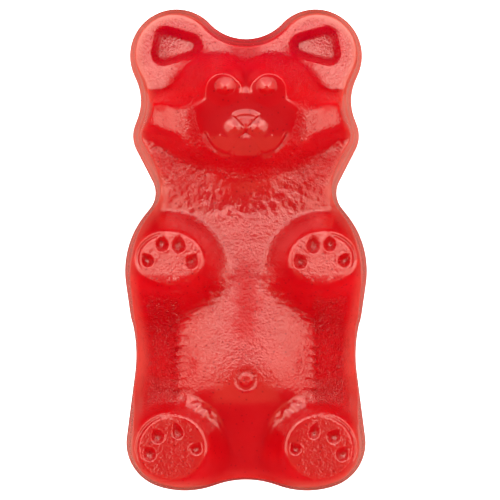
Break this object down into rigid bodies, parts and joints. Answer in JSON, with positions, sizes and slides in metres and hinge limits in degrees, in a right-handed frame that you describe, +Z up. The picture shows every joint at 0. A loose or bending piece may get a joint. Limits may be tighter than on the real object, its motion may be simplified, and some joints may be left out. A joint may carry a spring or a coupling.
{
  "type": "gummy bear",
  "caption": "Giant moulded gummy bear of translucent red jelly, lying on its flat back with face, paws and belly up.",
  "frame": {"origin": "middle of the flat back, on the surface that the bear lies on", "axes": "+Y along the body towards the head, +Z up out of the belly, +X to the right of the picture"},
  "size_m": [0.064, 0.1274, 0.035],
  "materials": {
    "jelly": "translucent glossy jelly, lightly grained by the mould"
  },
  "bodies": {
    "root": {"gummy_bear": "jelly"}
  },
  "joints": []
}
